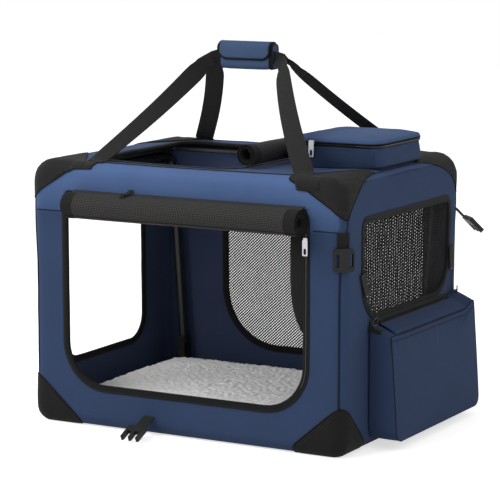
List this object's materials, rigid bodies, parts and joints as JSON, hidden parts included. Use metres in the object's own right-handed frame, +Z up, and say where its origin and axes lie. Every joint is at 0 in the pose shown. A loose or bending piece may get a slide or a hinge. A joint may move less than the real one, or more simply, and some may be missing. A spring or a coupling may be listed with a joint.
{
  "type": "soft folding dog crate",
  "caption": "Soft-sided folding pet crate with a hinged steel tube frame, a large roll-up front door, net windows, roof opening, roof pouch, side pocket, fleece pad and carrying handle",
  "frame": {"origin": "middle of the underside, on the ground", "axes": "+X runs along the length to the end with the side pocket, the large front door faces -Y, +Z is up"},
  "size_m": [0.7557, 0.6449, 0.7598],
  "materials": {
    "oxford": "coated woven cloth, dark blue",
    "black_cloth": "matt black cloth and binding tape",
    "webbing": "black woven webbing",
    "mesh": "black knitted mesh",
    "fleece": "pale grey pile fleece",
    "steel": "black powder coat on steel tube",
    "plastic": "moulded black plastic",
    "nickel": "bright nickel plate"
  },
  "bodies": {
    "base": {"floor_panel": "oxford", "fleece_pad": "fleece", "bottom_frame": "steel", "left_bracket_front": "steel", "left_bracket_rear": "steel", "right_bracket_front": "steel", "right_bracket_rear": "steel", "front_panel": "oxford", "rear_panel": "oxford", "left_panel": "oxford", "right_panel": "oxford", "front_door_binding": "black_cloth", "rear_window_binding": "black_cloth", "left_door_binding": "black_cloth", "right_window_binding": "black_cloth", "right_window_net": "mesh", "rear_window_net": "mesh", "front_door_roll": "black_cloth", "left_door_roll": "black_cloth", "bottom_patch_front_left": "black_cloth", "bottom_patch_rear_left": "black_cloth", "bottom_patch_front_right": "black_cloth", "bottom_patch_rear_right": "black_cloth", "pocket_body": "oxford", "hanger_strap_front": "webbing", "hanger_strap_rear": "webbing", "snap_hook_front": "steel", "snap_hook_rear": "steel", "pocket_ring_front": "steel", "pocket_ring_rear": "steel"},
    "right_hoop": {"right_hoop": "steel"},
    "sleeve": {"crossbar_sleeve": "plastic"},
    "top": {"top_frame": "steel", "roof_panel": "oxford", "roof_opening_binding": "black_cloth", "roof_door_roll": "black_cloth", "top_patch_front_left": "black_cloth", "top_patch_rear_left": "black_cloth", "top_patch_front_right": "black_cloth", "top_patch_rear_right": "black_cloth", "left_clip_front": "plastic", "left_clip_rear": "plastic", "right_clip_front": "plastic", "right_clip_rear": "plastic", "pouch_body": "oxford", "handle_strap_front": "webbing", "handle_strap_rear": "webbing"},
    "left_hoop": {"left_hoop": "steel"},
    "pouch_lid": {"pouch_lid": "oxford"},
    "pouch_slider": {"pouch_zip_slider": "nickel"},
    "door_slider": {"door_zip_slider": "nickel"},
    "grip": {"handle_wrap": "oxford"},
    "grip_flap": {"handle_flap": "oxford"},
    "pocket_lid": {"pocket_lid": "oxford"},
    "front_strap": {"front_strap": "webbing", "front_buckle": "plastic"},
    "corner_strap": {"corner_strap": "webbing", "corner_buckle": "plastic"},
    "rear_strap": {"rear_strap": "webbing", "rear_buckle": "plastic"}
  },
  "joints": [
    {"name": "fold", "type": "hinge", "parent": "base", "child": "right_hoop", "pos_m": [0.293, 0, 0.0635], "axis": [0, -1, 0], "range_deg": [0, 92.8], "deforming": ["front_panel", "rear_panel", "left_panel", "right_panel", "front_door_binding", "rear_window_binding", "left_door_binding", "right_window_binding", "right_window_net", "rear_window_net", "front_door_roll", "left_door_roll", "bottom_patch_front_left", "bottom_patch_rear_left", "bottom_patch_front_right", "bottom_patch_rear_right", "pocket_body", "hanger_strap_front", "hanger_strap_rear", "snap_hook_front", "snap_hook_rear", "pocket_ring_front", "pocket_ring_rear", "pocket_lid", "door_zip_slider"]},
    {"name": "sleeve_level", "type": "hinge", "parent": "right_hoop", "child": "sleeve", "pos_m": [0.32, 0, 0.4672], "axis": [0, 1, 0], "range_deg": [0, 93.5]},
    {"name": "top_travel", "type": "slide", "parent": "sleeve", "child": "top", "axis": [1, 0, 0], "range_m": [0, 0.435]},
    {"name": "left_fold", "type": "hinge", "parent": "base", "child": "left_hoop", "pos_m": [-0.293, 0, 0.087], "axis": [0, 1, 0], "range_deg": [0, 93.5]},
    {"name": "pouch_lid_hinge", "type": "hinge", "parent": "top", "child": "pouch_lid", "pos_m": [0.233, 0.13, 0.5743], "axis": [-1, 0, 0], "range_deg": [0, 28]},
    {"name": "pouch_zip_slide", "type": "slide", "parent": "top", "child": "pouch_slider", "axis": [1, 0, 0], "range_m": [0, 0.1]},
    {"name": "door_zip_slide", "type": "slide", "parent": "base", "child": "door_slider", "axis": [0, 0, 1], "range_m": [-0.2, 0]},
    {"name": "handle_drop", "type": "slide", "parent": "top", "child": "grip", "axis": [0, 0, 1], "range_m": [-0.12, 0], "deforming": ["handle_strap_front", "handle_strap_rear"]},
    {"name": "grip_flap_hinge", "type": "hinge", "parent": "grip", "child": "grip_flap", "pos_m": [0, 0.01346, 0.75547], "axis": [-1, 0, 0], "range_deg": [0, 150]},
    {"name": "pocket_lid_hinge", "type": "hinge", "parent": "base", "child": "pocket_lid", "pos_m": [0.3989, 0.0355, 0.22373], "axis": [0, 1, 0], "range_deg": [0, 120]},
    {"name": "front_strap_swing", "type": "hinge", "parent": "base", "child": "front_strap", "pos_m": [-0.076, -0.2603, 0.036], "axis": [-1, 0, 0], "range_deg": [0, 50]},
    {"name": "corner_strap_swing", "type": "hinge", "parent": "top", "child": "corner_strap", "pos_m": [0.3426, -0.2526, 0.43], "axis": [-0.7071, -0.7071, 0], "range_deg": [0, 75]},
    {"name": "rear_strap_swing", "type": "hinge", "parent": "top", "child": "rear_strap", "pos_m": [0.3426, 0.2526, 0.417], "axis": [0.7071, -0.7071, 0], "range_deg": [0, 45]}
  ],
  "couplings": [
    {"joint": "sleeve_level", "follows": "fold", "ratio": 1},
    {"joint": "top_travel", "follows": "fold", "m_per_rad": 0.26644},
    {"joint": "left_fold", "follows": "fold", "ratio": 1},
    {"joint": "corner_strap_swing", "follows": "fold", "ratio": 0.8},
    {"joint": "rear_strap_swing", "follows": "fold", "ratio": 0.4}
  ]
}
